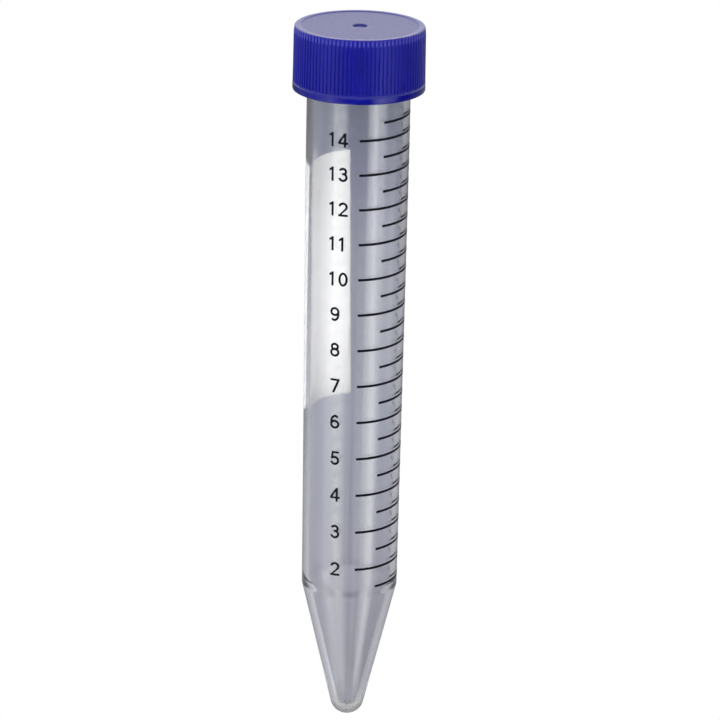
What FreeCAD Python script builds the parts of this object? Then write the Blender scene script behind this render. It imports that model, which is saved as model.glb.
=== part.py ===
import FreeCAD, Part
import math
import os

os.makedirs("parts", exist_ok=True)

V = FreeCAD.Vector
UP = V(0, 0, 1)
ORIGIN = V(0, 0, 0)

# A 15 mL conical screw-cap tube with a printed volume scale.
# All lengths are in millimetres. The tip of the cone rests at z = 0, the tube's axis is +Z.
# Azimuths are measured about the axis from the front (-Y), positive towards +X.

# --- overall heights -------------------------------------------------------------------
total_height = 120.0        # tip to the top of the closed cap
cap_height = 10.6           # skirt edge to top panel
panel_thickness = 1.3       # cap's top panel
liner_thickness = 0.8       # sealing disc between panel and rim
cap_bottom_z = total_height - cap_height
panel_under_z = total_height - panel_thickness
rim_z = panel_under_z - liner_thickness

# --- tube, outside ---------------------------------------------------------------------
cone_half_angle = 13.5      # degrees, each side of the axis
tip_radius = 2.7            # rounding between the cone and the foot of the tip
junction_z = 23.8           # where cone meets barrel
junction_r = 7.98
land_z = 99.0               # above this the barrel is truly cylindrical
land_r = 8.45
land_top_z = 109.0
neck_r = 8.2                # thread root
neck_chamfer = 0.3
rim_outer_chamfer = 0.25
gate_recess_r = 0.65        # sunk ring round the moulding gate in the tip
gate_recess_depth = 0.22
gate_stub_r = 0.3           # the cut gate itself, level with z = 0

# --- tube, inside ----------------------------------------------------------------------
bottom_inner_z = 1.43
bottom_inner_r = 1.6        # round inner bottom
inner_junction_z = 24.95
inner_junction_r = 6.89
inner_land_z = 109.0
inner_land_r = 7.49
rim_inner_chamfer = 0.2

# --- screw thread, single start, right hand --------------------------------------------
thread_pitch = 3.0
thread_start_z = 111.2      # centre of the ridge at its lower end
thread_rise = 4.8           # 1.6 turns
ridge_root_width = 1.1
ridge_crest_width = 0.6
male_crest_r = 9.0
female_crest_r = 8.5
ridge_bury = 0.25           # how far a ridge's root sinks into its wall

# --- cap -------------------------------------------------------------------------------
cap_bore_r = 9.3
cap_band_r = 10.83          # plain band at the skirt's edge
cap_band_height = 1.35
cap_crest_low_r = 10.79     # rib crests just above the band
cap_crest_top_r = 10.72     # rib crests near the top, after draft
cap_root_r = 10.52          # bottom of the grooves between ribs
cap_rib_end_height = 1.1    # over this the ribs' upper ends slope in towards the rim
cap_rib_end_r = 10.62       # rib crests at the top of that slope
cap_rim_r = 10.56           # wall between the ribs at the rim
cap_rim_height = 0.7
cap_edge_round = 0.2        # rounding of the top edge
cap_panel_r = 9.65          # matt disc of the top, sunk inside a plain rim
cap_panel_recess = 0.1
cap_rib_count = 96
rib_crest_share = 0.34      # part of the pitch taken by a rib's crest
rib_root_share = 0.30       # part of the pitch taken by a groove's floor
dimple_r = 1.2
dimple_depth = 0.35         # below the sunk disc
dimple_stub_r = 0.45
dimple_stub_height = 0.2
liner_r = 9.2

# --- print -----------------------------------------------------------------------------
ink = 0.04                  # thickness of every printed film
line_width = 0.42
long_start_s = 0.35         # arc length from the front to a full line's start, at the top
long_lean = 0.0075          # how that grows for each millimetre further down
short_start_s = 4.41
short_lean = 0.0018
line_end_azimuth = 105.0
print_tilt = 1.96           # the print is struck with the tube leaning in its jig
print_tilt_azimuth = 54.0
first_full_ml = 2
last_full_ml = 14
numeral_height = 2.4
numeral_stroke = 0.38
numeral_width = 1.62
numeral_left_s = -3.28      # left edge of the numeral 2
numeral_lean = 0.0184
two_digit_shift = -0.2
digit_advance = 1.70
patch_low_z = 54.5
patch_high_z = 96.7
patch_first_azimuth = 186.0
patch_last_azimuth = 276.0


def save(shape, name):
    shape.exportStep("parts/" + name + ".step")


def radial(azimuth):
    a = math.radians(azimuth)
    return V(math.sin(a), -math.cos(a), 0)


def tangent(azimuth):
    a = math.radians(azimuth)
    return V(math.cos(a), math.sin(a), 0)


def profile_face(points):
    """A face in the XZ half plane from (radius, z) pairs."""
    corners = [V(r, 0, z) for r, z in points]
    return Part.Face(Part.makePolygon(corners + corners[:1]))


def turned(points):
    return profile_face(points).revolve(ORIGIN, UP, 360)


def drum(radius, low_z, high_z):
    return Part.makeCylinder(radius, high_z - low_z, V(0, 0, low_z))


def turned_wire(edges):
    return Part.Face(Part.Wire(edges)).revolve(ORIGIN, UP, 360)


def line(r0, z0, r1, z1):
    return Part.LineSegment(V(r0, 0, z0), V(r1, 0, z1)).toShape()


def arc(r0, z0, rm, zm, r1, z1):
    return Part.Arc(V(r0, 0, z0), V(rm, 0, zm), V(r1, 0, z1)).toShape()


def outer_radius(z):
    """Barrel radius outside, above the cone."""
    share = min(1.0, (z - junction_z) / (land_z - junction_z))
    return junction_r + (land_r - junction_r) * share


# --- inner cone: the line from the round bottom, tangent to it, up to the barrel --------
bottom_centre_z = bottom_inner_z + bottom_inner_r
reach = math.hypot(inner_junction_r, inner_junction_z - bottom_centre_z)
reach_angle = math.atan2(inner_junction_z - bottom_centre_z, inner_junction_r)
inner_touch = reach_angle - math.acos(bottom_inner_r / reach)
inner_touch_r = bottom_inner_r * math.cos(inner_touch)
inner_touch_z = bottom_centre_z + bottom_inner_r * math.sin(inner_touch)


def frustum(r0, r1, h):
    return math.pi * h * (r0 * r0 + r0 * r1 + r1 * r1) / 3.0


def volume_below(z):
    """Volume inside the tube up to a level, in cubic millimetres."""
    cap_h = min(z, inner_touch_z) - bottom_inner_z
    total = math.pi * cap_h * cap_h * (bottom_inner_r - cap_h / 3.0)
    if z > inner_touch_z:
        top = min(z, inner_junction_z)
        share = (top - inner_touch_z) / (inner_junction_z - inner_touch_z)
        r = inner_touch_r + (inner_junction_r - inner_touch_r) * share
        total += frustum(inner_touch_r, r, top - inner_touch_z)
    if z > inner_junction_z:
        share = (z - inner_junction_z) / (inner_land_z - inner_junction_z)
        r = inner_junction_r + (inner_land_r - inner_junction_r) * share
        total += frustum(inner_junction_r, r, z - inner_junction_z)
    return total


def level_of(ml):
    """Height of the liquid's surface for a volume in millilitres."""
    low = bottom_inner_z
    high = rim_z
    while high - low > 0.0001:
        middle = 0.5 * (low + high)
        if volume_below(middle) < 1000.0 * ml:
            low = middle
        else:
            high = middle
    return 0.5 * (low + high)


def ridge(root_r, crest_r):
    """One thread ridge, swept along the helix, its root sunk into the wall it stands on."""
    inward = 1.0 if crest_r > root_r else -1.0
    slope = (ridge_root_width - ridge_crest_width) / 2.0 / abs(crest_r - root_r)
    base_r = root_r - inward * ridge_bury
    base_half = ridge_root_width / 2.0 + slope * ridge_bury
    crest_half = ridge_crest_width / 2.0
    corners = [
        V(base_r, 0, -base_half),
        V(crest_r, 0, -crest_half),
        V(crest_r, 0, crest_half),
        V(base_r, 0, base_half),
    ]
    path = Part.Wire(Part.makeHelix(thread_pitch, thread_rise, root_r))
    section = Part.Wire(Part.makePolygon(corners + corners[:1]))
    swept = path.makePipeShell([section], True, True)
    swept.translate(V(0, 0, thread_start_z))
    return swept


# --- tube body -------------------------------------------------------------------------
half = math.radians(cone_half_angle)
cone_at_zero = junction_r - junction_z * math.tan(half)
tip_centre_r = cone_at_zero + tip_radius * math.tan(half) - tip_radius / math.cos(half)
tip_touch_r = tip_centre_r + tip_radius * math.cos(half)
tip_touch_z = tip_radius - tip_radius * math.sin(half)
tip_mid = 0.5 * (-math.pi / 2.0 - half)
tip_mid_r = tip_centre_r + tip_radius * math.cos(tip_mid)
tip_mid_z = tip_radius + tip_radius * math.sin(tip_mid)

neck_start_z = land_top_z + neck_chamfer
outer_solid = turned_wire([
    line(0, 0, tip_centre_r, 0),
    arc(tip_centre_r, 0, tip_mid_r, tip_mid_z, tip_touch_r, tip_touch_z),
    line(tip_touch_r, tip_touch_z, junction_r, junction_z),
    line(junction_r, junction_z, land_r, land_z),
    line(land_r, land_z, land_r, land_top_z),
    line(land_r, land_top_z, neck_r, neck_start_z),
    line(neck_r, neck_start_z, neck_r, rim_z - rim_outer_chamfer),
    line(neck_r, rim_z - rim_outer_chamfer, neck_r - rim_outer_chamfer, rim_z),
    line(neck_r - rim_outer_chamfer, rim_z, 0, rim_z),
    line(0, rim_z, 0, 0),
])

inner_mid = 0.5 * (-math.pi / 2.0 + inner_touch)
inner_mid_r = bottom_inner_r * math.cos(inner_mid)
inner_mid_z = bottom_centre_z + bottom_inner_r * math.sin(inner_mid)
mouth_r = inner_land_r + rim_inner_chamfer
chamfer_z = rim_z - rim_inner_chamfer
cavity = turned_wire([
    arc(0, bottom_inner_z, inner_mid_r, inner_mid_z, inner_touch_r, inner_touch_z),
    line(inner_touch_r, inner_touch_z, inner_junction_r, inner_junction_z),
    line(inner_junction_r, inner_junction_z, inner_land_r, inner_land_z),
    line(inner_land_r, inner_land_z, inner_land_r, chamfer_z),
    line(inner_land_r, chamfer_z, mouth_r, rim_z),
    line(mouth_r, rim_z, mouth_r, rim_z + 1.0),
    line(mouth_r, rim_z + 1.0, 0, rim_z + 1.0),
    line(0, rim_z + 1.0, 0, bottom_inner_z),
])

gate = drum(gate_recess_r, -1.0, gate_recess_depth)
gate_stub = drum(gate_stub_r, 0.0, gate_recess_depth + 0.2)
male_ridge = ridge(neck_r, male_crest_r)
tube_body = outer_solid.fuse(male_ridge).cut(cavity).cut(gate).fuse(gate_stub)

# --- screw cap -------------------------------------------------------------------------
band_top_z = cap_bottom_z + cap_band_height
rim_low_z = total_height - cap_rim_height
panel_top_z = total_height - cap_panel_recess
rib_low_z = band_top_z - 0.5
rib_top_z = total_height - 0.08
envelope = turned([
    (0, rib_low_z),
    (cap_crest_low_r, rib_low_z),
    (cap_crest_top_r, total_height - cap_rib_end_height),
    (cap_rib_end_r, total_height - 0.25),
    (cap_rim_r - 0.06, rib_top_z),
    (0, rib_top_z),
])

edge_start_z = total_height - cap_edge_round
edge_centre_r = cap_rim_r - cap_edge_round
edge_mid = math.radians(45)
edge_mid_r = edge_centre_r + cap_edge_round * math.cos(edge_mid)
edge_mid_z = edge_start_z + cap_edge_round * math.sin(edge_mid)
rim = turned_wire([
    line(0, rim_low_z, cap_root_r - 0.1, rim_low_z),
    line(cap_root_r - 0.1, rim_low_z, cap_rim_r, rim_low_z + 0.2),
    line(cap_rim_r, rim_low_z + 0.2, cap_rim_r, edge_start_z),
    arc(cap_rim_r, edge_start_z, edge_mid_r, edge_mid_z, edge_centre_r, total_height),
    line(edge_centre_r, total_height, 0, total_height),
    line(0, total_height, 0, rim_low_z),
])


def rib_outline(crest_r):
    """Closed outline of the ribbed wall, seen along the axis."""
    step = 360.0 / cap_rib_count
    half_crest = 0.5 * rib_crest_share * step
    half_root = 0.5 * rib_root_share * step
    corners = []
    for index in range(cap_rib_count):
        centre = index * step
        for radius, azimuth in (
            (crest_r, centre - half_crest),
            (crest_r, centre + half_crest),
            (cap_root_r, centre + 0.5 * step - half_root),
            (cap_root_r, centre + 0.5 * step + half_root),
        ):
            corners.append(radial(azimuth) * radius)
    return Part.Face(Part.makePolygon(corners + corners[:1]))


ribbed = rib_outline(cap_band_r + 0.05)
ribbed.translate(V(0, 0, rib_low_z))
ribbed_wall = ribbed.extrude(V(0, 0, rib_top_z - rib_low_z)).common(envelope)

band = turned([
    (0, cap_bottom_z),
    (cap_band_r - 0.2, cap_bottom_z),
    (cap_band_r, cap_bottom_z + 0.2),
    (cap_band_r - 0.02, band_top_z - 0.12),
    (cap_band_r - 0.14, band_top_z),
    (0, band_top_z),
])

cap_bore = turned([
    (0, cap_bottom_z - 1.0),
    (cap_bore_r + 0.3, cap_bottom_z - 1.0),
    (cap_bore_r + 0.3, cap_bottom_z),
    (cap_bore_r, cap_bottom_z + 0.3),
    (cap_bore_r, panel_under_z),
    (0, panel_under_z),
])

female_ridge = ridge(cap_bore_r, female_crest_r)
female_ridge.rotate(ORIGIN, UP, 180)
sunk_disc = drum(cap_panel_r, panel_top_z, total_height + 1.0)
dimple_floor_z = panel_top_z - dimple_depth
dimple = drum(dimple_r, dimple_floor_z, total_height + 1.0)
dimple_stub = drum(dimple_stub_r, dimple_floor_z - 0.2, dimple_floor_z + dimple_stub_height)
cap_shell = ribbed_wall.fuse([band, rim]).cut(cap_bore).cut(sunk_disc).cut(dimple)
screw_cap = cap_shell.fuse([female_ridge, dimple_stub])

# --- liner -----------------------------------------------------------------------------
cap_liner = drum(liner_r, rim_z, panel_under_z)


# --- printed films ---------------------------------------------------------------------
def film(low_z, high_z):
    """The thin ring of ink that could lie on the barrel between two heights."""
    r_low = outer_radius(low_z)
    r_high = outer_radius(high_z)
    return turned([
        (r_low, low_z),
        (r_low + ink, low_z),
        (r_high + ink, high_z),
        (r_high, high_z),
    ])


def sector(first_azimuth, last_azimuth, thickness):
    """A flat wedge about the axis, centred on z = 0, wider than the tube."""
    far = 14.0
    steps = max(2, int(math.ceil((last_azimuth - first_azimuth) / 40.0)))
    corners = [ORIGIN]
    for index in range(steps + 1):
        azimuth = first_azimuth + (last_azimuth - first_azimuth) * index / steps
        corners.append(radial(azimuth) * far)
    face = Part.Face(Part.makePolygon(corners + corners[:1]))
    face.translate(V(0, 0, -0.5 * thickness))
    return face.extrude(V(0, 0, thickness))


def struck(shape, z):
    """Leans a pattern as the print leans, and lifts it to its height."""
    shape.rotate(ORIGIN, radial(print_tilt_azimuth), print_tilt)
    shape.translate(V(0, 0, z))
    return shape


def tilt_offset(azimuth, z):
    """How far a leaning pattern is off its middle height at an azimuth."""
    across = math.sin(math.radians(azimuth - print_tilt_azimuth))
    return outer_radius(z) * math.tan(math.radians(print_tilt)) * across


def graduation(ml, start_s, lean):
    z = level_of(ml)
    arc_length = start_s + lean * (land_z - z)
    start = math.degrees(arc_length / outer_radius(z))
    centre_z = z - tilt_offset(start, z)
    wedge = struck(sector(start, line_end_azimuth, line_width), centre_z)
    return film(z - 1.2, z + 1.2).common(wedge)


full_lines = []
half_lines = []
for ml in range(first_full_ml, last_full_ml + 1):
    full_lines.append(graduation(ml, long_start_s, long_lean))
for ml in range(first_full_ml - 1, last_full_ml + 1):
    half_lines.append(graduation(ml + 0.5, short_start_s, short_lean))

patch_height = patch_high_z - patch_low_z
patch_z = 0.5 * (patch_low_z + patch_high_z)
patch_wedge = struck(sector(patch_first_azimuth, patch_last_azimuth, patch_height), patch_z)
patch_ring = film(patch_low_z - 1.0, patch_high_z + 1.0)
writing_patch = patch_ring.common(patch_wedge)


# --- numerals: plain grotesque figures drawn with one stroke width ----------------------
top = 0.5 * numeral_height
low = -top
wide = numeral_width
pen = numeral_stroke


def flat(corners):
    points = [V(x, y, 0) for x, y in corners]
    return Part.Face(Part.makePolygon(points + points[:1]))


def box(x0, y0, x1, y1):
    return flat([(x0, y0), (x1, y0), (x1, y1), (x0, y1)])


def bar(x0, y0, x1, y1):
    """A straight stroke with square ends."""
    length = math.hypot(x1 - x0, y1 - y0)
    nx = -(y1 - y0) / length * pen / 2.0
    ny = (x1 - x0) / length * pen / 2.0
    return flat([(x0 + nx, y0 + ny), (x0 - nx, y0 - ny), (x1 - nx, y1 - ny), (x1 + nx, y1 + ny)])


def ellipse(cx, cy, rx, ry):
    """An ellipse with its parameter measured from +x, whichever way it is longer."""
    if rx >= ry:
        return Part.Ellipse(V(cx + rx, cy, 0), V(cx, cy + ry, 0), V(cx, cy, 0)), 0.0
    return Part.Ellipse(V(cx, cy + ry, 0), V(cx - rx, cy, 0), V(cx, cy, 0)), -90.0


def ring(cx, cy, rx, ry):
    outer, _ = ellipse(cx, cy, rx, ry)
    inner, _ = ellipse(cx, cy, rx - pen, ry - pen)
    outer_face = Part.Face(Part.Wire(outer.toShape()))
    inner_face = Part.Face(Part.Wire(inner.toShape()))
    return outer_face.cut(inner_face)


def bowl(cx, cy, rx, ry, first, last):
    """A curved stroke of an ellipse from one angle to another, counter-clockwise."""
    outer, outer_turn = ellipse(cx, cy, rx, ry)
    inner, inner_turn = ellipse(cx, cy, rx - pen, ry - pen)
    o0 = math.radians(first + outer_turn)
    o1 = math.radians(last + outer_turn)
    i0 = math.radians(first + inner_turn)
    i1 = math.radians(last + inner_turn)
    outer_edge = outer.toShape(o0, o1)
    inner_edge = inner.toShape(i0, i1)
    start = Part.LineSegment(inner.value(i0), outer.value(o0)).toShape()
    end = Part.LineSegment(outer.value(o1), inner.value(i1)).toShape()
    edges = Part.__sortEdges__([outer_edge, end, inner_edge, start])
    return Part.Face(Part.Wire(edges))


middle = 0.5 * wide
upper_r = 0.66
lower_ry = 0.77
upper_y = top - upper_r
lower_y = low + lower_ry


def figure_six():
    return [
        ring(middle, lower_y, middle, lower_ry),
        bowl(middle + 0.05, 0, middle + 0.05, top, 48, 190),
    ]


def figure_nine():
    pieces = figure_six()
    for piece in pieces:
        piece.rotate(V(middle, 0, 0), UP, 180)
    return pieces


FIGURES = {
    "0": lambda: [ring(middle, 0, middle - 0.02, top)],
    "1": lambda: [
        flat([
            (0.50, low),
            (0.50 + pen, low),
            (0.50 + pen, top),
            (0.62, top),
            (0.08, top - 0.40),
            (0.08, top - 0.74),
            (0.50, top - 0.56),
        ]),
    ],
    "2": lambda: [
        bowl(middle, top - 0.76, middle - 0.03, 0.76, -42, 172),
        flat([(1.14, 0.16), (0.0, low + 0.16), (0.0, low), (0.42, low + 0.24), (1.44, 0.00)]),
        box(0, low, wide, low + pen - 0.02),
    ],
    "3": lambda: [
        bowl(middle - 0.02, upper_y, 0.70, upper_r, -80, 165),
        bowl(middle - 0.02, lower_y, middle - 0.02, lower_ry, -166, 82),
        box(0.62, lower_y + lower_ry - pen, middle + 0.06, lower_y + lower_ry - 0.04),
    ],
    "4": lambda: [
        box(0.0, low + 0.52, wide + 0.04, low + 0.87),
        box(0.96, low, 0.96 + pen, top),
        flat([(0.0, low + 0.75), (0.0, low + 0.92), (0.99, top), (1.26, top), (1.26, top - 0.16), (0.34, low + 0.75)]),
    ],
    "5": lambda: [
        box(0.30, top - pen + 0.02, wide - 0.10, top),
        flat([(0.10, -0.18), (0.46, -0.10), (0.66, top), (0.30, top)]),
        bowl(middle - 0.02, lower_y + 0.02, middle - 0.02, 0.79, -166, 142),
    ],
    "6": figure_six,
    "7": lambda: [
        box(0.02, top - pen + 0.02, wide, top),
        flat([(wide, top - 0.30), (0.74, low), (0.34, low), (1.18, top - 0.34)]),
    ],
    "8": lambda: [
        ring(middle, upper_y, 0.72, upper_r),
        ring(middle, lower_y, middle, lower_ry),
    ],
    "9": figure_nine,
}


def figure(digit, left_s, z):
    """One digit as an ink film on the barrel, its left edge at an arc length from the front."""
    r = outer_radius(z)
    pieces = []
    for face in FIGURES[digit]():
        face.translate(V(-middle, 0, 0))
        pieces.append(face.extrude(V(0, 0, 3.0)))
    solid = pieces[0]
    if len(pieces) > 1:
        solid = solid.fuse(pieces[1:])
    azimuth = math.degrees((left_s + middle) / r)
    x_axis = tangent(azimuth)
    out = radial(azimuth)
    start = out * (r - 1.5)
    placed = FreeCAD.Matrix(
        x_axis.x, 0, out.x, start.x,
        x_axis.y, 0, out.y, start.y,
        0, 1, 0, z,
        0, 0, 0, 1,
    )
    solid.transformShape(placed)
    return film(z - 2.0, z + 2.0).common(solid)


numerals = []
for ml in range(first_full_ml, last_full_ml + 1):
    z = level_of(ml)
    left_s = numeral_left_s - numeral_lean * (z - level_of(first_full_ml))
    text = str(ml)
    if len(text) == 2:
        left_s += two_digit_shift - 0.08
    for place, digit in enumerate(text):
        numerals.append(figure(digit, left_s + place * digit_advance, z))


def loose(shapes):
    """Every solid of a list of shapes, side by side in one compound."""
    solids = []
    for shape in shapes:
        solids.extend(shape.removeSplitter().Solids)
    return Part.makeCompound(solids)


full_ml_lines = loose(full_lines)
half_ml_lines = loose(half_lines)
scale_numerals = loose(numerals)
writing_patch = loose([writing_patch])
tube_body = tube_body.removeSplitter()
screw_cap = screw_cap.removeSplitter()

save(tube_body, "tube_body")
save(screw_cap, "screw_cap")
save(cap_liner, "cap_liner")
save(full_ml_lines, "full_ml_lines")
save(half_ml_lines, "half_ml_lines")
save(scale_numerals, "scale_numerals")
save(writing_patch, "writing_patch")

for name, shape in (
    ("tube_body", tube_body),
    ("screw_cap", screw_cap),
    ("cap_liner", cap_liner),
    ("full_ml_lines", full_ml_lines),
    ("half_ml_lines", half_ml_lines),
    ("scale_numerals", scale_numerals),
    ("writing_patch", writing_patch),
):
    print(name, "solids", len(shape.Solids), "valid", shape.isValid(), "volume", round(shape.Volume, 3))
for ml in (1.5, 2, 5, 10, 14, 14.5):
    print("level", ml, round(level_of(ml), 2))
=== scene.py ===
import math

import bmesh
import bpy
import numpy as np
from mathutils import Matrix, Vector

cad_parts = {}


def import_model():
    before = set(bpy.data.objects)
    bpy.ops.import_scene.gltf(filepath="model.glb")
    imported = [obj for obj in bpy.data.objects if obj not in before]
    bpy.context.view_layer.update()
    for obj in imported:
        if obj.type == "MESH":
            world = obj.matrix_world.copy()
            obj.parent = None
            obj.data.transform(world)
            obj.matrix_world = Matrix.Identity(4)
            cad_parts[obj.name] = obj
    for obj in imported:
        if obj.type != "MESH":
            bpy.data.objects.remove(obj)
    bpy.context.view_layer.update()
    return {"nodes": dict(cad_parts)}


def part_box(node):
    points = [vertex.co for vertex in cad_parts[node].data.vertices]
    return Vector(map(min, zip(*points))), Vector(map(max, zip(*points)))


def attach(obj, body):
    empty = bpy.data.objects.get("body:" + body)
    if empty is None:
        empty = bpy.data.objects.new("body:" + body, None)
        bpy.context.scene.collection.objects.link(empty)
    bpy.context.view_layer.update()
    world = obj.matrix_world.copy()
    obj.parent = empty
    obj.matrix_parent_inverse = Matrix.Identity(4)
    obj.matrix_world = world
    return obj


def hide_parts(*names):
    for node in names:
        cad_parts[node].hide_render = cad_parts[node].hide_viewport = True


# A 15 mL conical screw-cap tube. The CAD frame gives where everything is; this script rebuilds each
# piece as a fine mesh with its own procedural material. Profiles are in millimetres, objects in metres.
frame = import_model()
MM = 0.001

_, tube_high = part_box("tube_body")
cap_low, cap_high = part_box("screw_cap")
liner_low, liner_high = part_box("cap_liner")

# --- heights and radii taken from the frame, in millimetres -----------------------------
RIM_Z = tube_high.z / MM
CAP_BOTTOM_Z = cap_low.z / MM
TOP_Z = cap_high.z / MM
PANEL_UNDER_Z = liner_high.z / MM
LINER_R = liner_high.x / MM
CAP_BAND_R = cap_high.x / MM
CREST_R = tube_high.x / MM          # crest of the neck's thread

# --- tube, as the CAD model has it -------------------------------------------------------
CONE_HALF_ANGLE = math.radians(13.5)
TIP_ROUND = 2.7
JUNCTION_Z = 23.8                   # where the cone meets the barrel
JUNCTION_R = 7.98
JUNCTION_ROUND = 1.2
LAND_Z = 99.0
LAND_R = 8.45
LAND_TOP_Z = 109.0
SHOULDER_HEIGHT = 0.3
SHOULDER_ROUND = 0.1
NECK_R = 8.2
INNER_BOTTOM_Z = 1.43
INNER_BOTTOM_R = 1.6
INNER_JUNCTION_Z = 24.95
INNER_JUNCTION_R = 6.89
INNER_JUNCTION_ROUND = 6.0
INNER_TOP_R = 7.49
INNER_TOP_Z = 109.0
LIP_OUTER_ROUND = 0.25
LIP_INNER_ROUND = 0.2
GATE_R = 0.65
GATE_DEPTH = 0.22
GATE_STUB_R = 0.3
GATE_DRAFT = 0.03
FROSTED_Z = 1.2                     # frosted below this height, clear above the next
CLEAR_Z = 2.6
TUBE_COLUMNS = 240
LONG_STEP = 2.0                     # longest face along a plain wall

# --- thread, single start, right hand ----------------------------------------------------
PITCH = 3.0
THREAD_START_Z = 111.2
THREAD_TURNS = 1.6
RIDGE_ROOT_HALF = 0.55
RIDGE_CREST_HALF = 0.30
RIDGE_FADE_TURNS = 0.07
RIDGE_STEP = 0.085                  # face height along the threaded neck
THREAD_FOOT_Z = THREAD_START_Z - 0.7
THREAD_HEAD_Z = RIM_Z - 0.3
FEMALE_CREST_R = 8.5
CAP_BORE_R = 9.3
FEMALE_STEP = 0.09

# --- cap ---------------------------------------------------------------------------------
BAND_HEIGHT = 1.35
RIB_COUNT = 96
RIB_CREST_LOW_R = 10.79
RIB_CREST_TOP_R = 10.72
RIB_ROOT_R = 10.52
RIB_END_HEIGHT = 1.1
RIB_END_R = 10.62
RIM_R = 10.56
RIM_HEIGHT = 0.7
EDGE_ROUND = 0.2
DISC_R = 9.65
DISC_RECESS = 0.1
DIMPLE_R = 1.2
DIMPLE_DEPTH = 0.35
# the gate stub in the dimple: radius and height over the dimple's floor, then its middle's height
STUB_OUTLINE = ((0.55, 0.0), (0.46, 0.03), (0.42, 0.10), (0.34, 0.13))
STUB_MIDDLE = 0.11

# --- print -------------------------------------------------------------------------------
INK_SINK = 0.012                    # how far a film bites into the wall it is printed on
INK_PROUD = 0.020                   # how far it stands proud
INK_TURN = math.radians(4.0)        # widest face round the wall
INK_RISE = 6.0                      # tallest face along it
PATCH_SHADED_Y = -0.6                 # the patch is painted greyer, a painted shade, in front of this place, and has its own white behind the next
PATCH_UNSHADED_Y = 1.4


# =========================================================================================
# Meshes
# =========================================================================================
EDGE_LOOP = 0.06                    # a ring this close to a corner keeps the wall beside it flat
ROUND_STEP = math.radians(7.0)      # widest face round a corner


def smooth(x):
    """0 below 0, 1 above 1, and a smooth step between."""
    x = np.clip(x, 0.0, 1.0)
    return x * x * (3.0 - 2.0 * x)


def outer_radius(z):
    """The barrel's radius above the cone, in millimetres."""
    share = np.clip((z - JUNCTION_Z) / (LAND_Z - JUNCTION_Z), 0.0, 1.0)
    return JUNCTION_R + (LAND_R - JUNCTION_R) * share


def path(corners, step):
    """Points along straight runs between corners (r, z, round), each corner rounded by its radius."""
    points = []

    def run(a, b):
        length = math.dist(a, b)
        if length < 1e-6:
            return
        near = min(EDGE_LOOP, length / 4.0)
        marks = [0.0, near, length - near, length]
        count = int(length / step)
        marks += [length * (i + 1) / (count + 1) for i in range(count)]
        for mark in sorted(marks):
            t = mark / length
            points.append((a[0] + (b[0] - a[0]) * t, a[1] + (b[1] - a[1]) * t))

    here = corners[0][:2]
    for before, corner, after in zip(corners, corners[1:], corners[2:]):
        c = Vector(corner[:2])
        back = (Vector(before[:2]) - c).normalized()
        on = (Vector(after[:2]) - c).normalized()
        half = 0.5 * math.acos(max(-1.0, min(1.0, back.dot(on))))
        radius = corner[2]
        if radius <= 0.0 or half > math.pi / 2.0 - 0.01:
            run(here, corner[:2])
            here = corner[:2]
            continue
        tangent = radius / math.tan(half)
        centre = c + (back + on).normalized() * (radius / math.sin(half))
        first = c + back * tangent
        last = c + on * tangent
        run(here, tuple(first))
        a0 = math.atan2(first.y - centre.y, first.x - centre.x)
        a1 = math.atan2(last.y - centre.y, last.x - centre.x)
        turn = (a1 - a0 + math.pi) % (2.0 * math.pi) - math.pi
        count = max(3, int(abs(turn) / ROUND_STEP))
        for i in range(1, count):
            a = a0 + turn * i / count
            points.append((centre.x + radius * math.cos(a), centre.y + radius * math.sin(a)))
        here = tuple(last)
    run(here, corners[-1][:2])
    kept = [points[0]]
    for p in points[1:]:
        if math.dist(p, kept[-1]) > 1e-5:
            kept.append(p)
    return kept


def mesh_object(name, verts, faces, sharp_angle=32.0):
    """A smooth-shaded object whose edges past sharp_angle degrees stay sharp."""
    mesh = bpy.data.meshes.new(name)
    mesh.from_pydata([tuple(v) for v in verts], [], faces)
    mesh.validate()
    mesh.update()
    mesh.shade_smooth()
    mesh.set_sharp_from_angle(angle=math.radians(sharp_angle))
    obj = bpy.data.objects.new(name, mesh)
    bpy.context.scene.collection.objects.link(obj)
    return obj


class Sheet:
    """Collects rings of points about the axis and the faces between them."""

    def __init__(self):
        self.verts = []
        self.faces = []

    def ring(self, radii, z, angles):
        """A ring; radii may be one number or one for each column. Returns its vertex numbers."""
        radii = np.broadcast_to(np.asarray(radii, float), angles.shape)
        heights = np.broadcast_to(np.asarray(z, float), angles.shape)
        first = len(self.verts)
        for r, h, a in zip(radii, heights, angles):
            self.verts.append((r * math.sin(a) * MM, -r * math.cos(a) * MM, h * MM))
        return list(range(first, first + len(angles)))

    def pole(self, z):
        self.verts.append((0.0, 0.0, z * MM))
        return [len(self.verts) - 1]

    def join(self, a, b):
        """Faces between two rings, between a ring and a pole, or between a ring and a coarser one."""
        n = max(len(a), len(b))
        if len(a) == len(b):
            for i in range(n):
                j = (i + 1) % n
                self.faces.append((a[i], a[j], b[j], b[i]))
        elif len(a) == 1:
            for i in range(n):
                self.faces.append((a[0], b[(i + 1) % n], b[i]))
        elif len(b) == 1:
            for i in range(n):
                self.faces.append((a[i], a[(i + 1) % n], b[0]))
        else:
            few, many, flip = (a, b, False) if len(a) < len(b) else (b, a, True)
            each = len(many) // len(few)
            for i in range(len(few)):
                fine = [many[(each * i + k) % len(many)] for k in range(each + 1)]
                face = [few[i], few[(i + 1) % len(few)]] + fine[::-1]
                self.faces.append(tuple(face[::-1]) if flip else tuple(face))

    def rings(self, rows):
        for a, b in zip(rows, rows[1:]):
            self.join(a, b)


def columns(count):
    """Evenly spaced azimuths."""
    return np.arange(count) * (2.0 * math.pi / count)


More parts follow.
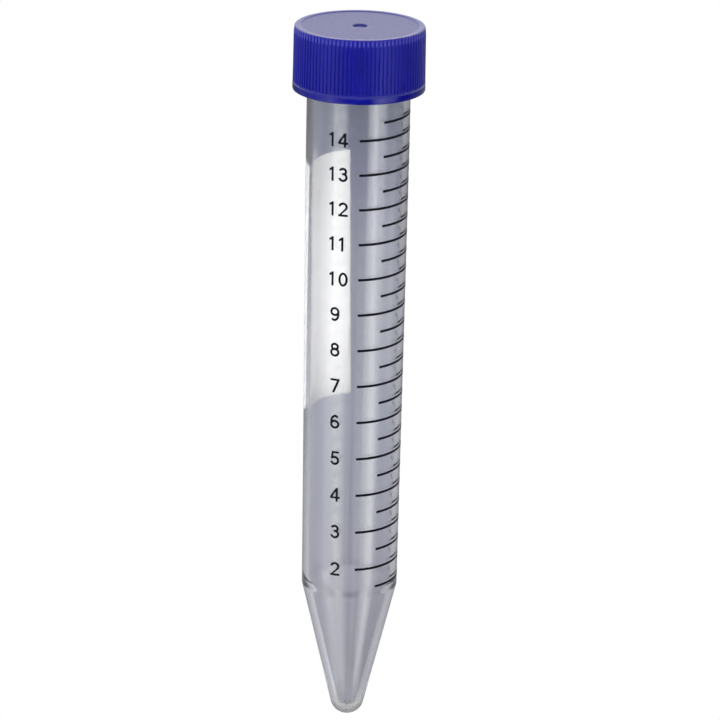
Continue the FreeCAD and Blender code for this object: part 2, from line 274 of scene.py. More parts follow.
def turned(name, points, count=TUBE_COLUMNS, shape=None, sharp_angle=32.0):
    """A closed surface of revolution from an outline that starts and ends on the axis."""
    sheet = Sheet()
    angles = columns(count)
    rows = []
    for r, z in points:
        if r < 1e-6:
            rows.append(sheet.pole(z))
        else:
            radii = shape(r, z, angles) if shape else r
            rows.append(sheet.ring(radii, z, angles))
    sheet.rings(rows)
    return mesh_object(name, sheet.verts, sheet.faces, sharp_angle)


def ridge_height(z, angles, half_turn):
    """0 to 1: how much of the thread ridge stands at a height, for each azimuth about the axis."""
    phi = angles / (2.0 * math.pi) - 0.25 - half_turn
    phi = phi - np.floor(phi)
    best = np.zeros_like(phi)
    for turn in range(-1, 3):
        along = phi + turn
        offset = np.abs(z - THREAD_START_Z - PITCH * along)
        height = smooth((RIDGE_ROOT_HALF - offset) / (RIDGE_ROOT_HALF - RIDGE_CREST_HALF))
        fade = smooth((along + RIDGE_FADE_TURNS) / RIDGE_FADE_TURNS)
        fade = fade * smooth((THREAD_TURNS + RIDGE_FADE_TURNS - along) / RIDGE_FADE_TURNS)
        best = np.maximum(best, height * fade)
    return best


# --- tube body ---------------------------------------------------------------------------
def tube_outline():
    """Outer wall from the tip up, over the rim, and down the inside to its round bottom."""
    half = CONE_HALF_ANGLE
    # the tip's round is centred tip_r off the axis, so that it meets the cone and the floor smoothly
    tip_r = JUNCTION_R - JUNCTION_Z * math.tan(half) + TIP_ROUND * (math.tan(half) - 1.0 / math.cos(half))
    lip = math.asin((GATE_R - tip_r) / TIP_ROUND)
    lip_z = TIP_ROUND * (1.0 - math.cos(lip))
    steps = 12
    tip = []
    for i in range(1, steps + 1):
        a = lip + (math.pi / 2.0 - half - lip) * i / steps
        tip.append((tip_r + TIP_ROUND * math.sin(a), TIP_ROUND * (1.0 - math.cos(a)), 0.0))
    # the inner bottom is a ball, which the inner cone touches at the angle touch
    centre_z = INNER_BOTTOM_Z + INNER_BOTTOM_R
    reach = math.hypot(INNER_JUNCTION_R, INNER_JUNCTION_Z - centre_z)
    touch = math.atan2(INNER_JUNCTION_Z - centre_z, INNER_JUNCTION_R) - math.acos(INNER_BOTTOM_R / reach)
    outside = path(
        [
            (0.0, 0.0, 0.0),
            (GATE_STUB_R, 0.0, 0.05),
            (GATE_STUB_R + GATE_DRAFT, GATE_DEPTH, 0.06),
            (GATE_R - GATE_DRAFT, GATE_DEPTH, 0.06),
            (GATE_R, lip_z, 0.04),
            *tip,
            (JUNCTION_R, JUNCTION_Z, JUNCTION_ROUND),
            (LAND_R, LAND_Z, 0.0),
            (LAND_R, LAND_TOP_Z, SHOULDER_ROUND),
            (NECK_R, LAND_TOP_Z + SHOULDER_HEIGHT, SHOULDER_ROUND),
            (NECK_R, THREAD_FOOT_Z, 0.0),
        ],
        LONG_STEP,
    )
    neck = path([(NECK_R, THREAD_FOOT_Z, 0.0), (NECK_R, THREAD_HEAD_Z, 0.0)], RIDGE_STEP)
    rim = path(
        [
            (NECK_R, THREAD_HEAD_Z, 0.0),
            (NECK_R, RIM_Z, LIP_OUTER_ROUND),
            (INNER_TOP_R, RIM_Z, LIP_INNER_ROUND),
            (INNER_TOP_R, INNER_TOP_Z, 0.0),
            (INNER_JUNCTION_R, INNER_JUNCTION_Z, INNER_JUNCTION_ROUND),
            (INNER_BOTTOM_R * math.cos(touch), centre_z + INNER_BOTTOM_R * math.sin(touch), 0.0),
        ],
        LONG_STEP,
    )
    steps = 14
    bottom = []
    for i in range(1, steps):
        a = touch + (-math.pi / 2.0 - touch) * i / steps
        bottom.append((INNER_BOTTOM_R * math.cos(a), centre_z + INNER_BOTTOM_R * math.sin(a)))
    return outside + neck[1:] + rim[1:] + bottom + [(0.0, INNER_BOTTOM_Z)]


def tube_shape(r, z, angles):
    """Adds the thread's ridge to the neck's outer wall."""
    if abs(r - NECK_R) > 1e-6 or z < THREAD_FOOT_Z or z > THREAD_HEAD_Z:
        return r
    return r + (CREST_R - NECK_R) * ridge_height(z, angles, 0.0)


tube = turned("clear_tube", tube_outline(), TUBE_COLUMNS, tube_shape)

# --- screw cap ---------------------------------------------------------------------------
# where the columns of one rib and its groove stand, as a share of the pitch from the rib's middle
RIB_PHASES = np.array([0.0, 0.09, 0.15, 0.20, 0.26, 0.32, 0.38, 0.5, 0.62, 0.68, 0.74, 0.80, 0.85, 0.91])


def rib_depth():
    """0 on a rib's crest and 1 on a groove's floor, for every outer column."""
    phase = np.minimum(RIB_PHASES, 1.0 - RIB_PHASES)
    flank = smooth((phase - 0.15) / 0.20)
    return np.tile(flank, RIB_COUNT)


def cap_mesh():
    """The cap from the middle of its ceiling, down the bore, up the ribs and in over the top."""
    sheet = Sheet()
    outer_angles = np.concatenate([k + RIB_PHASES for k in range(RIB_COUNT)]) * (2.0 * math.pi / RIB_COUNT)
    inner_angles = columns(RIB_COUNT * 2)
    groove = rib_depth()
    band_top = CAP_BOTTOM_Z + BAND_HEIGHT
    end_low = TOP_Z - RIB_END_HEIGHT
    edge_low = TOP_Z - EDGE_ROUND

    # inside, from the middle of the ceiling out and down the threaded bore
    rows = [sheet.pole(PANEL_UNDER_Z)]
    for r in (3.0, 6.0, 8.4, CAP_BORE_R - 0.25):
        rows.append(sheet.ring(r, PANEL_UNDER_Z, inner_angles))
    rows.append(sheet.ring(CAP_BORE_R - 0.07, PANEL_UNDER_Z - 0.07, inner_angles))
    bore_top = PANEL_UNDER_Z - 0.25
    bore_low = CAP_BOTTOM_Z + 0.35
    count = int((bore_top - bore_low) / FEMALE_STEP)
    for i in range(count + 1):
        z = bore_top + (bore_low - bore_top) * i / count
        lift = ridge_height(z, inner_angles, 0.5)
        rows.append(sheet.ring(CAP_BORE_R - (CAP_BORE_R - FEMALE_CREST_R) * lift, z, inner_angles))
    rows.append(sheet.ring(CAP_BORE_R + 0.10, CAP_BOTTOM_Z + 0.16, inner_angles))
    rows.append(sheet.ring(CAP_BORE_R + 0.30, CAP_BOTTOM_Z, inner_angles))

    # skirt's edge, plain band, ribs and lip, from the bottom up
    def add(radius, z):
        rows.append(sheet.ring(radius, z, outer_angles))

    for inset, above in ((0.28, 0.0), (0.16, 0.02), (0.05, 0.08), (0.0, 0.20), (0.005, 0.55)):
        add(CAP_BAND_R - inset, CAP_BOTTOM_Z + above)
    for inset, below in ((0.015, 0.22), (0.03, 0.12), (0.06, 0.04)):
        add(CAP_BAND_R - inset, band_top - below)
    run_out = 0.5
    heights = [band_top + dz for dz in (0.0, 0.06, 0.12, 0.18, 0.24, 0.32, run_out)]
    heights += [band_top + run_out + (end_low - band_top - run_out) * (i + 1) / 9 for i in range(9)]
    heights += [end_low + (edge_low - end_low) * (i + 1) / 8 for i in range(7)]
    for z in heights:
        share = min(1.0, (z - band_top) / (end_low - band_top))
        crest = RIB_CREST_LOW_R + (RIB_CREST_TOP_R - RIB_CREST_LOW_R) * share
        crest += (RIB_END_R - RIB_CREST_TOP_R) * max(0.0, (z - end_low) / (edge_low - end_low))
        root = RIB_ROOT_R + (RIM_R - RIB_ROOT_R) * float(smooth((z - TOP_Z + RIM_HEIGHT) / 0.2))
        depth = float(smooth((z - band_top + 0.04) / 0.30))
        add(crest - (crest - root) * depth * groove, z)
    steps = 7
    for i in range(steps + 1):
        a = math.radians(90.0) * i / steps
        rib = (RIB_END_R - RIM_R) * (1.0 - groove) * math.cos(a)
        add(RIM_R - EDGE_ROUND * (1.0 - math.cos(a)) + rib, edge_low + EDGE_ROUND * math.sin(a))
    add(RIM_R - EDGE_ROUND - 0.06, TOP_Z)

    # top panel, in to the gate dimple and its stub
    def add_top(radius, z):
        rows.append(sheet.ring(radius, z, inner_angles))

    disc = TOP_Z - DISC_RECESS
    floor_z = disc - DIMPLE_DEPTH
    add_top(DISC_R + 0.10, TOP_Z)
    add_top(DISC_R + 0.03, TOP_Z - 0.015)
    add_top(DISC_R - 0.02, disc + 0.02)
    for r in (DISC_R - 0.08, 9.2, 7.5, 5.5, 3.5, 2.0, DIMPLE_R + 0.10):
        add_top(r, disc)
    add_top(DIMPLE_R + 0.03, disc - 0.01)
    add_top(DIMPLE_R, disc - 0.05)
    add_top(DIMPLE_R - 0.02, floor_z + 0.06)
    add_top(DIMPLE_R - 0.08, floor_z)
    for radius, above in STUB_OUTLINE:
        add_top(radius, floor_z + above)
    rows.append(sheet.pole(floor_z + STUB_MIDDLE))
    sheet.rings(rows)
    return mesh_object("blue_cap", sheet.verts, sheet.faces, 40.0)


cap = cap_mesh()

# --- liner -------------------------------------------------------------------------------
liner_bottom = liner_low.z / MM
liner = turned(
    "foam_liner",
    path(
        [
            (0.0, liner_bottom, 0.0),
            (LINER_R, liner_bottom, 0.15),
            (LINER_R, PANEL_UNDER_Z, 0.15),
            (0.0, PANEL_UNDER_Z, 0.0),
        ],
        1.2,
    ),
    160,
)


# --- printed films -----------------------------------------------------------------------
def printed(name, node):
    """The CAD film's outline, cut fine enough to lie on the round wall, and laid on that wall."""
    obj = bpy.data.objects.new(name, frame["nodes"][node].data.copy())
    bpy.context.scene.collection.objects.link(obj)
    bm = bmesh.new()
    bm.from_mesh(obj.data)
    bmesh.ops.remove_doubles(bm, verts=bm.verts, dist=1e-6)
    for _ in range(6):
        wide = []
        for e in bm.edges:
            a, b = e.verts[0].co, e.verts[1].co
            turn = abs(math.atan2(a.x * b.y - a.y * b.x, a.x * b.x + a.y * b.y))
            if turn > INK_TURN or abs(a.z - b.z) > INK_RISE * MM:
                wide.append(e)
        if not wide:
            break
        bmesh.ops.subdivide_edges(bm, edges=wide, cuts=1)
        bmesh.ops.triangulate(bm, faces=[f for f in bm.faces if len(f.verts) > 4])
    for v in bm.verts:
        z = v.co.z / MM
        r = math.hypot(v.co.x, v.co.y) / MM
        wall = float(outer_radius(z))
        outer_face = r > wall + INK_PROUD
        new = wall + (INK_PROUD if outer_face else -INK_SINK)
        v.co.x *= new / r
        v.co.y *= new / r
    bmesh.ops.recalc_face_normals(bm, faces=bm.faces)
    bm.to_mesh(obj.data)
    bm.free()
    obj.data.materials.clear()
    obj.data.shade_smooth()
    obj.data.set_sharp_from_angle(angle=math.radians(40.0))
    return obj


films = {
    "full_lines_print": "full_ml_lines",
    "half_lines_print": "half_ml_lines",
    "numerals_print": "scale_numerals",
    "patch_print": "writing_patch",
}
prints = {name: printed(name, node) for name, node in films.items()}


# =========================================================================================
# Materials
# =========================================================================================
class Graph:
    """A node tree, with short ways to add to it."""

    def __init__(self, tree):
        self.tree = tree

    def add(self, kind, **values):
        node = self.tree.nodes.new(kind)
        for key, value in values.items():
            setattr(node, key, value)
        return node

    def link(self, a, b):
        self.tree.links.new(a, b)

    def mix(self, factor, a, b):
        """A colour between a and b, each a colour or a socket."""
        node = self.add("ShaderNodeMix", data_type="RGBA")
        colors = [socket for socket in node.inputs if socket.type == "RGBA"]
        for socket, value in zip(colors, (a, b)):
            if isinstance(value, tuple):
                socket.default_value = value
            else:
                self.link(value, socket)
        self.link(factor, node.inputs[0])
        return [socket for socket in node.outputs if socket.type == "RGBA"][0]


class Nodes(Graph):
    """One material's node tree."""

    def __init__(self, name):
        self.material = bpy.data.materials.new(name)
        self.material.use_nodes = True
        super().__init__(self.material.node_tree)
        self.shader = self.tree.nodes["Principled BSDF"]
        self.output = self.tree.nodes["Material Output"]
        self.place = self.add("ShaderNodeTexCoord").outputs["Object"]

    def set(self, **values):
        for key, value in values.items():
            self.shader.inputs[key.replace("_", " ")].default_value = value

    def along(self, axis):
        """The place along the object's X, Y or Z, in metres."""
        node = self.add("ShaderNodeSeparateXYZ")
        self.link(self.place, node.inputs[0])
        return node.outputs[axis]

    def stretched(self, scale):
        node = self.add("ShaderNodeMapping")
        node.inputs["Scale"].default_value = scale
        self.link(self.place, node.inputs["Vector"])
        return node.outputs["Vector"]

    def noise(self, scale, detail=3.0, stretch=None, roughness=0.5):
        node = self.add("ShaderNodeTexNoise")
        node.inputs["Scale"].default_value = scale
        node.inputs["Detail"].default_value = detail
        node.inputs["Roughness"].default_value = roughness
        self.link(self.stretched(stretch) if stretch else self.place, node.inputs["Vector"])
        return node.outputs["Fac"]

    def remap(self, value, low_in, high_in, low_out, high_out):
        node = self.add("ShaderNodeMapRange")
        node.inputs["From Min"].default_value = low_in
        node.inputs["From Max"].default_value = high_in
        node.inputs["To Min"].default_value = low_out
        node.inputs["To Max"].default_value = high_out
        self.link(value, node.inputs["Value"])
        return node.outputs["Result"]

    def times(self, a, b):
        node = self.add("ShaderNodeMath", operation="MULTIPLY")
        self.link(a, node.inputs[0])
        self.link(b, node.inputs[1])
        return node.outputs["Value"]

    def lerp(self, factor, a, b):
        node = self.add("ShaderNodeMix", data_type="FLOAT")
        self.link(factor, node.inputs[0])
        self.link(a, node.inputs["A"])
        self.link(b, node.inputs["B"])
        return node.outputs[0]

    def bump(self, height, strength, distance, under=None):
        node = self.add("ShaderNodeBump")
        node.inputs["Strength"].default_value = strength
        node.inputs["Distance"].default_value = distance
        self.link(height, node.inputs["Height"])
        if under:
            self.link(under, node.inputs["Normal"])
        return node.outputs["Normal"]


def clear_plastic():
    """Clear polished moulding with faint cloudiness, scuffs and mould rings."""
    n = Nodes("clear_plastic")
    n.set(IOR=1.49, Transmission_Weight=0.99)
    clean = (0.955, 0.957, 0.96, 1.0)
    hazy = (0.915, 0.917, 0.92, 1.0)
    cloud = n.noise(260.0, 4.0, (1.0, 1.0, 0.25))
    n.link(n.mix(n.remap(cloud, 0.35, 0.7, 0.0, 1.0), clean, hazy), n.shader.inputs["Base Color"])
    scuff = n.noise(900.0, 5.0, (0.5, 0.5, 2.2))
    # the very tip is frosted
    tip = n.remap(n.along("Z"), FROSTED_Z * MM, CLEAR_Z * MM, 1.0, 0.0)
    polished = n.remap(scuff, 0.3, 0.75, 0.03, 0.12)
    frosted = n.remap(scuff, 0.3, 0.75, 0.22, 0.34)
    n.link(n.lerp(tip, polished, frosted), n.shader.inputs["Roughness"])
    ripple = n.noise(150.0, 2.0, (1.0, 1.0, 0.35))
    first = n.bump(ripple, 0.25, 0.0002)
    rings = n.noise(1400.0, 2.0, (0.15, 0.15, 1.6))
    n.link(n.bump(rings, 0.10, 0.00003, first), n.shader.inputs["Normal"])
    # lamps shine straight through the clear wall on to the print behind it
    clear = n.add("ShaderNodeBsdfTransparent")
    clear.inputs["Color"].default_value = (0.975, 0.975, 0.975, 1.0)
    lamps = n.add("ShaderNodeMixShader")
    n.link(n.add("ShaderNodeLightPath").outputs["Is Shadow Ray"], lamps.inputs[0])
    n.link(n.shader.outputs[0], lamps.inputs[1])
    n.link(clear.outputs[0], lamps.inputs[2])
    n.link(lamps.outputs[0], n.output.inputs["Surface"])
    return n.material


def blue_plastic():
    """Opaque blue moulding: glossy band, satin ribs and a matt disc on top."""
    n = Nodes("blue_plastic")
    n.set(IOR=1.5, Specular_IOR_Level=0.28)
    n.set(Subsurface_Weight=0.15, Subsurface_Scale=0.0005, Subsurface_Radius=(0.3, 0.3, 1.0))
    deep = (0.003, 0.004, 0.197, 1.0)
    light = (0.005, 0.006, 0.234, 1.0)
    worn = (0.015, 0.018, 0.37, 1.0)
    cloud = n.noise(420.0, 4.0, (1.0, 1.0, 0.5))
    base = n.mix(n.remap(cloud, 0.35, 0.7, 0.0, 1.0), deep, light)
    edge = n.add("ShaderNodeNewGeometry").outputs["Pointiness"]
    wear = n.remap(edge, 0.54, 0.62, 0.0, 0.25)
    base = n.mix(wear, base, worn)
    # the spark-eroded disc of the top is matt and a little greyer, the skirt's plain band is glossy
    off_axis = n.add("ShaderNodeVectorMath", operation="LENGTH")
    n.link(n.stretched((1.0, 1.0, 0.0)), off_axis.inputs[0])
    radius = off_axis.outputs["Value"]
    height = n.along("Z")
    near = n.remap(radius, (DISC_R - 0.03) * MM, (DISC_R + 0.03) * MM, 1.0, 0.0)
    high = n.remap(height, (TOP_Z - 0.7) * MM, (TOP_Z - 0.6) * MM, 0.0, 1.0)
    disc = n.times(near, high)
    band_top = (CAP_BOTTOM_Z + BAND_HEIGHT) * MM
    band = n.remap(height, band_top, band_top + 0.0002, 1.0, 0.0)
    fleck = n.noise(2600.0, 4.0, roughness=0.7)
    grey = n.mix(n.remap(fleck, 0.35, 0.65, 0.0, 1.0), (0.015, 0.017, 0.17, 1.0), (0.045, 0.047, 0.21, 1.0))
    # the ends of the ribs are lighter: a painted highlight where they catch the light from above
    rib_end_highlight = n.remap(height, (TOP_Z - 1.2) * MM, (TOP_Z - 0.8) * MM, 0.0, 0.65)
    proud = n.remap(radius, (RIM_R + 0.02) * MM, (RIM_R + 0.12) * MM, 0.0, 1.0)
    base = n.mix(n.times(rib_end_highlight, proud), base, (0.085, 0.085, 0.50, 1.0))
    # the flat ring round the top is painted lighter and more lavender: a painted reflection of the light
    # above it
    top_sheen = n.remap(height, (TOP_Z - 0.08) * MM, (TOP_Z - 0.03) * MM, 0.0, 1.0)
    rim = n.mix(top_sheen, base, (0.026, 0.030, 0.25, 1.0))
    n.link(n.mix(disc, rim, grey), n.shader.inputs["Base Color"])
    rub = n.noise(1600.0, 4.0, (1.0, 1.0, 0.4))
    ribs = n.remap(rub, 0.3, 0.7, 0.30, 0.42)
    matt = n.lerp(disc, ribs, n.remap(fleck, 0.3, 0.7, 0.34, 0.50))
    n.link(n.lerp(band, matt, n.remap(rub, 0.3, 0.7, 0.07, 0.12)), n.shader.inputs["Roughness"])
    grain = n.noise(5200.0, 2.0)
    n.link(n.bump(grain, 0.25, 0.00002, n.bump(fleck, 0.3, 0.00002)), n.shader.inputs["Normal"])
    return n.material


def foam():
    """White closed-cell foam."""
    n = Nodes("liner_foam")
    n.set(Specular_IOR_Level=0.3, Subsurface_Weight=0.15, Subsurface_Scale=0.0005)
    cells = n.add("ShaderNodeTexVoronoi")
    cells.inputs["Scale"].default_value = 3500.0
    n.link(n.place, cells.inputs["Vector"])
    patchy = n.noise(600.0, 3.0)
    base = n.mix(n.remap(patchy, 0.3, 0.7, 0.0, 1.0), (0.78, 0.78, 0.75, 1.0), (0.87, 0.87, 0.85, 1.0))
    n.link(base, n.shader.inputs["Base Color"])
    n.link(n.remap(patchy, 0.3, 0.7, 0.6, 0.85), n.shader.inputs["Roughness"])
    n.link(n.bump(cells.outputs["Distance"], 0.5, 0.00004), n.shader.inputs["Normal"])
    return n.material


def black_ink():
    """Thin black print with fine specks."""
    n = Nodes("black_ink")
    n.set(Specular_IOR_Level=0.08)
    speck = n.noise(3800.0, 4.0)
    base = n.mix(n.remap(speck, 0.45, 0.8, 0.0, 1.0), (0.002, 0.002, 0.005, 1.0), (0.010, 0.010, 0.018, 1.0))
    n.link(base, n.shader.inputs["Base Color"])
    n.link(n.remap(speck, 0.3, 0.7, 0.35, 0.6), n.shader.inputs["Roughness"])
    n.link(n.bump(speck, 0.3, 0.00001), n.shader.inputs["Normal"])
    return n.material


def white_ink():
    """Matt white print, translucent, with a tooth to write on."""
    n = Nodes("white_ink")
    n.set(Specular_IOR_Level=0.25)
    n.set(Subsurface_Weight=1.0, Subsurface_Scale=0.0003, Subsurface_Radius=(1.0, 1.0, 1.0))
    mottle = n.noise(700.0, 5.0)
    base = n.mix(n.remap(mottle, 0.35, 0.7, 0.0, 1.0), (0.87, 0.87, 0.87, 1.0), (0.93, 0.93, 0.925, 1.0))
    # the print's colour is painted greyer towards its front edge, at the tube's side: painted shade
    edge_shade = n.remap(n.along("Y"), PATCH_SHADED_Y * MM, PATCH_UNSHADED_Y * MM, 1.0, 0.0)
    base = n.mix(edge_shade, base, (0.50, 0.50, 0.50, 1.0))
    n.link(base, n.shader.inputs["Base Color"])
    n.link(n.remap(mottle, 0.3, 0.7, 0.6, 0.85), n.shader.inputs["Roughness"])
    tooth = n.noise(4200.0, 3.0)
    n.link(n.bump(tooth, 0.4, 0.00002), n.shader.inputs["Normal"])
    return n.material


finishes = {
    "clear_plastic": clear_plastic(),
    "blue_plastic": blue_plastic(),
    "liner_foam": foam(),
    "black_ink": black_ink(),
    "white_ink": white_ink(),
}

# =========================================================================================
# What each piece is and what it moves with
# =========================================================================================
for piece, body, node, slot in (
    (tube, "tube", "tube_body", "clear_plastic"),
    (cap, "cap", "screw_cap", "blue_plastic"),
    (liner, "liner", "cap_liner", "liner_foam"),
    (prints["full_lines_print"], "tube", "full_ml_lines", "black_ink"),
    (prints["half_lines_print"], "tube", "half_ml_lines", "black_ink"),
    (prints["numerals_print"], "tube", "scale_numerals", "black_ink"),
    (prints["patch_print"], "tube", "writing_patch", "white_ink"),
):
    piece.data.materials.append(finishes[slot])
    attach(piece, body)
    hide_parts(node)


# =========================================================================================
# Stage, light and camera
# =========================================================================================
# What shiny surfaces mirror all round the tube: azimuth in degrees, 0 on the numerals' side and
# 90 on +X, then radiance close to the tube and far from it. The two peaks are tall soft lights.
ROOM_LIGHT = (
    (-180.0, 0.32, 0.25),
    (-140.0, 0.5, 0.16),
    (-110.0, 0.65, 0.5),
    (-90.0, 0.55, 0.6),
    (-75.0, 1.3, 0.8),
    (-60.0, 2.3, 1.3),
    (-50.0, 2.1, 2.3),
    (-40.0, 1.5, 1.2),
    (-30.0, 1.9, 0.6),
    (-20.0, 1.5, 0.0),
    (-10.0, 0.6, 0.0),
    (0.0, 0.0, 0.0),
    (10.0, 0.4, 0.0),
    (20.0, 0.0, 0.0),
    (30.0, 1.0, 2.18),
    (40.0, 2.2, 3.7),
    (50.0, 2.8, 2.1),
    (60.0, 0.5, 1.9),
    (75.0, 0.25, 0.05),
    (90.0, 0.35, 0.05),
    (110.0, 0.45, 0.25),
    (140.0, 0.5, 0.35),
    (180.0, 0.32, 0.25),
)
NEAR, FAR = 1, 2                            # the columns of ROOM_LIGHT
FRONT_TINT = (1.0, 1.0, 0.97)
BACK_TINT = (0.96, 0.97, 1.06)
FRONT_HALF_WIDTH = 70.0                     # the back's tint begins this far round, either way
ROOM_PEAK = max(max(near, far) for _, near, far in ROOM_LIGHT)
UNDER_TUBE = (0.003, 0.012)                 # a painted shadow: the floor's glow is dimmed this close to the tube's tip
SHADE = (0.50, 0.50, 0.48)
FADE_NEAR = 0.05                            # between these distances the NEAR light turns into the FAR
FADE_FAR = 0.42
# The pale floor as seen through the tube: distance from the tube, and how bright it is there.
FLOOR_LIGHT = (
    (0.03, (0.25, 0.255, 0.312)),
    (0.08, (0.325, 0.33, 0.405)),
    (0.15, (0.36, 0.375, 0.455)),
    (0.24, (0.35, 0.365, 0.44)),
    (0.30, (0.30, 0.31, 0.405)),
    (0.34, (0.225, 0.235, 0.33)),
    (0.39, (0.16, 0.18, 0.245)),
)
BACK_WALL = (2.10, 2.08, 2.20, 1.0)         # what the cap's top mirrors
FRONT_WALL = (1.6, 1.6, 1.66, 1.0)          # and what its edges mirror
DIM_ROOM = (0.34, 0.34, 0.36, 1.0)          # what is seen through the tube above the floor
AMBIENT = (0.31, 0.31, 0.32, 1.0)           # the soft light that falls on everything
HORIZON_NEAR = 0.70                         # over this stretch the mirrored floor turns into the walls
HORIZON_FAR = 1.20
WALL_TURN = 0.3                             # how softly the front wall turns into the back wall
WHITE = (1.0, 1.0, 1.0, 1.0)
FLOOR_HALF = 3.0
LENS = 218.0                                # millimetres, as is the sensor's width
SENSOR = 36.0
CAMERA_PLACE = Vector((0.0, -0.687, 0.2882))


class Surround(Graph):
    """The light that the floor or the room gives off: white to the camera, and a plain studio with
    tall soft lights in it to everything else."""

    def __init__(self, tree, kind):
        super().__init__(tree)
        self.kind = kind
        self.rays = self.add("ShaderNodeLightPath")

    def glow(self, color):
        node = self.add(self.kind)
        if isinstance(color, tuple):
            node.inputs["Color"].default_value = color
        else:
            self.link(color, node.inputs["Color"])
        return node

    def either(self, factor, if_not, if_so):
        node = self.add("ShaderNodeMixShader")
        self.link(factor, node.inputs[0])
        self.link(if_not, node.inputs[1])
        self.link(if_so, node.inputs[2])
        return node.outputs[0]

    def step(self, value, low, high):
        node = self.add("ShaderNodeMapRange", interpolation_type="SMOOTHSTEP")
        node.inputs["From Min"].default_value = low
        node.inputs["From Max"].default_value = high
        self.link(value, node.inputs["Value"])
        return node.outputs["Result"]

    def ramp(self, share, stops):
        """A colour ramp over share, from (position, colour) stops."""
        node = self.add("ShaderNodeValToRGB")
        self.link(share, node.inputs["Fac"])
        elements = node.color_ramp.elements
        while len(elements) < len(stops):
            elements.new(0.5)
        for element, (position, color) in zip(elements, stops):
            element.position = position
            element.color = (*color, 1.0)
        return node

    def by_distance(self, place):
        """The floor's brightness by how far it is from the tube."""
        away = self.add("ShaderNodeVectorMath", operation="LENGTH")
        self.link(place, away.inputs[0])
        reach = FLOOR_LIGHT[-1][0]
        share = self.add("ShaderNodeMapRange")
        share.inputs["From Max"].default_value = reach
        self.link(away.outputs["Value"], share.inputs["Value"])
        stops = [(distance / reach, color) for distance, color in FLOOR_LIGHT]
        return self.ramp(share.outputs["Result"], stops).outputs["Color"]

    def by_azimuth(self, place, column):
        """The room's radiance round the vertical axis, as a share of its peak; column is NEAR or FAR."""
        turn = self.add("ShaderNodeMapping")
        turn.inputs["Rotation"].default_value = (0.0, 0.0, math.radians(90.0))
        self.link(place, turn.inputs["Vector"])
        fan = self.add("ShaderNodeTexGradient", gradient_type="RADIAL")
        self.link(turn.outputs["Vector"], fan.inputs["Vector"])
        stops = []
        for row in ROOM_LIGHT:
            tint = BACK_TINT if abs(row[0]) > FRONT_HALF_WIDTH else FRONT_TINT
            stops.append((row[0] / 360.0 + 0.5, [row[column] / ROOM_PEAK * c for c in tint]))
        ramp = self.ramp(fan.outputs["Fac"], stops)
        ramp.color_ramp.interpolation = "EASE"
        return ramp.outputs["Color"]

    def walls(self, place):
        """The room's plain walls: FRONT_WALL on the numerals' side and BACK_WALL behind the tube."""
        split = self.add("ShaderNodeSeparateXYZ")
        self.link(place, split.inputs[0])
        behind = self.step(split.outputs["Y"], -WALL_TURN, WALL_TURN)
        return self.glow(self.mix(behind, FRONT_WALL, BACK_WALL)).outputs[0]

    def output(self, seen_through, mirrored, socket):
        """seen_through is for rays that only passed through clear plastic, mirrored for reflections."""
        reflected = self.step(self.rays.outputs["Glossy Depth"], 0.4, 0.6)
        direct = self.either(self.rays.outputs["Is Diffuse Ray"], seen_through, self.glow(AMBIENT).outputs[0])
        others = self.either(reflected, direct, mirrored)
        all_rays = self.either(self.rays.outputs["Is Camera Ray"], others, self.glow(WHITE).outputs[0])
        self.link(all_rays, socket)


def floor():
    """The plain pale floor that the tube stands on; it is not lit but glows, with the studio's lights and a
    painted shadow under the tube painted into its glow.
    """
    half = FLOOR_HALF
    corners = [(-half, -half, 0), (half, -half, 0), (half, half, 0), (-half, half, 0)]
    mesh = bpy.data.meshes.new("pale_floor")
    mesh.from_pydata(corners, [], [(0, 1, 2, 3)])
    obj = bpy.data.objects.new("pale_floor", mesh)
    bpy.context.scene.collection.objects.link(obj)
    material = bpy.data.materials.new("pale_floor")
    material.use_nodes = True
    material.cycles.emission_sampling = "NONE"
    tree = material.node_tree
    tree.nodes.remove(tree.nodes["Principled BSDF"])
    light = Surround(tree, "ShaderNodeEmission")
    place = light.add("ShaderNodeNewGeometry").outputs["Position"]
    away = light.add("ShaderNodeVectorMath", operation="LENGTH")
    light.link(place, away.inputs[0])
    distance = light.step(away.outputs["Value"], FADE_NEAR, FADE_FAR)
    plain = light.glow(light.by_distance(place))
    # painted shadow: close under the tube the mirrored light turns to SHADE
    shade = light.step(away.outputs["Value"], *UNDER_TUBE)
    close = light.mix(shade, (*[c / ROOM_PEAK for c in SHADE], 1.0), light.by_azimuth(place, NEAR))
    room = light.glow(light.mix(distance, close, light.by_azimuth(place, FAR)))
    room.inputs["Strength"].default_value = ROOM_PEAK
    horizon = light.step(away.outputs["Value"], HORIZON_NEAR, HORIZON_FAR)
    mirrored = light.either(horizon, room.outputs[0], light.walls(place))
    light.output(plain.outputs[0], mirrored, tree.nodes["Material Output"].inputs["Surface"])
    mesh.materials.append(material)


def world():
    """The plain pale studio round it."""
    studio = bpy.data.worlds.new("studio")
    bpy.context.scene.world = studio
    studio.use_nodes = True
    studio.cycles.sampling_method = "NONE"
    tree = studio.node_tree
    tree.nodes.remove(tree.nodes["Background"])
    light = Surround(tree, "ShaderNodeBackground")
    plain = light.glow(DIM_ROOM)
    walls = light.walls(light.add("ShaderNodeTexCoord").outputs["Generated"])
    light.output(plain.outputs[0], walls, tree.nodes["World Output"].inputs["Surface"])


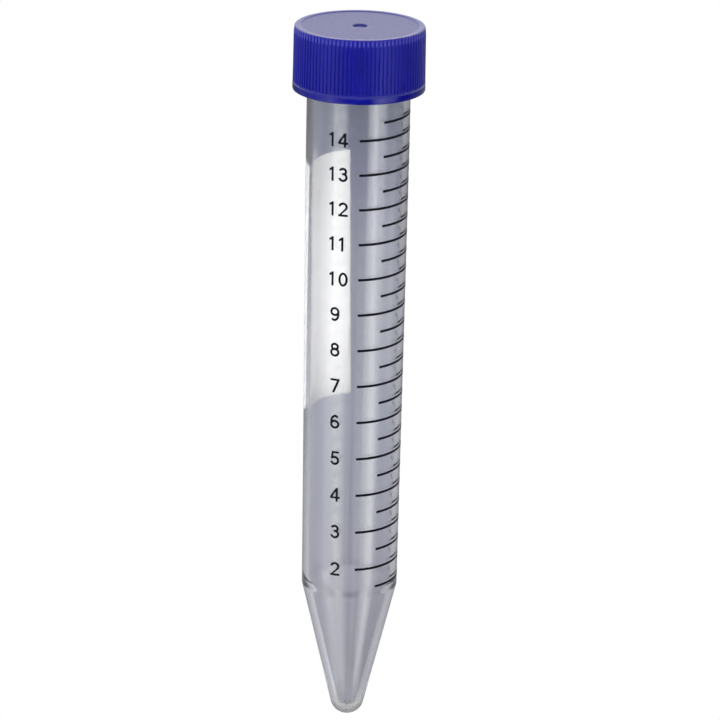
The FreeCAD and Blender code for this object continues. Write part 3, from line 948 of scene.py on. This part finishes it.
def softbox(name, azimuth, elevation, distance, size, power, height=0.06, spread=180.0):
    """A rectangular lamp that faces the tube's axis at a height; azimuth 0 is the camera's side."""
    a, e = math.radians(azimuth), math.radians(elevation)
    middle = Vector((0.0, 0.0, height))
    away = Vector((math.sin(a) * math.cos(e), -math.cos(a) * math.cos(e), math.sin(e)))
    data = bpy.data.lights.new(name, "AREA")
    data.shape = "RECTANGLE"
    data.size, data.size_y = size
    data.energy = power
    data.spread = math.radians(spread)
    obj = bpy.data.objects.new(name, data)
    obj.location = middle + away * distance
    obj.rotation_mode = "QUATERNION"
    obj.rotation_quaternion = (-away).to_track_quat("-Z", "Y")
    obj.visible_glossy = False
    obj.visible_transmission = False
    bpy.context.scene.collection.objects.link(obj)


def camera():
    """A long lens on the numerals' side that looks 18 degrees down, rolled by about a degree."""
    pitch, yaw, roll = math.radians(18.15), math.radians(0.09), math.radians(1.15)
    forward = Vector((math.sin(yaw) * math.cos(pitch), math.cos(yaw) * math.cos(pitch), -math.sin(pitch)))
    level = Vector((math.cos(yaw), -math.sin(yaw), 0.0))
    upright = level.cross(forward)
    right = level * math.cos(roll) + upright * math.sin(roll)
    up = upright * math.cos(roll) - level * math.sin(roll)
    data = bpy.data.cameras.new("camera")
    data.sensor_width = SENSOR
    data.lens = LENS
    data.clip_start = 0.05
    obj = bpy.data.objects.new("camera", data)
    turn = Matrix((right, up, -forward)).transposed()
    obj.matrix_world = Matrix.Translation(CAMERA_PLACE) @ turn.to_4x4()
    bpy.context.scene.collection.objects.link(obj)
    bpy.context.scene.camera = obj


floor()
world()
softbox("key_light", -12.0, 12.0, 0.9, (0.5, 0.9), 11.0)
softbox("right_light", 60.0, 12.0, 1.0, (0.6, 0.9), 1.0)
# a gridded strip behind the tube that lights only the translucent writing patch
patch_low, patch_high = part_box("writing_patch")
patch_middle = (patch_low.z + patch_high.z) / 2.0
patch_tall = patch_high.z - patch_low.z
softbox("back_light", -140.0, 0.0, 0.6, (0.06, patch_tall), 0.0058, patch_middle, 4.0)
camera()
bpy.context.scene.view_settings.view_transform = "Standard"
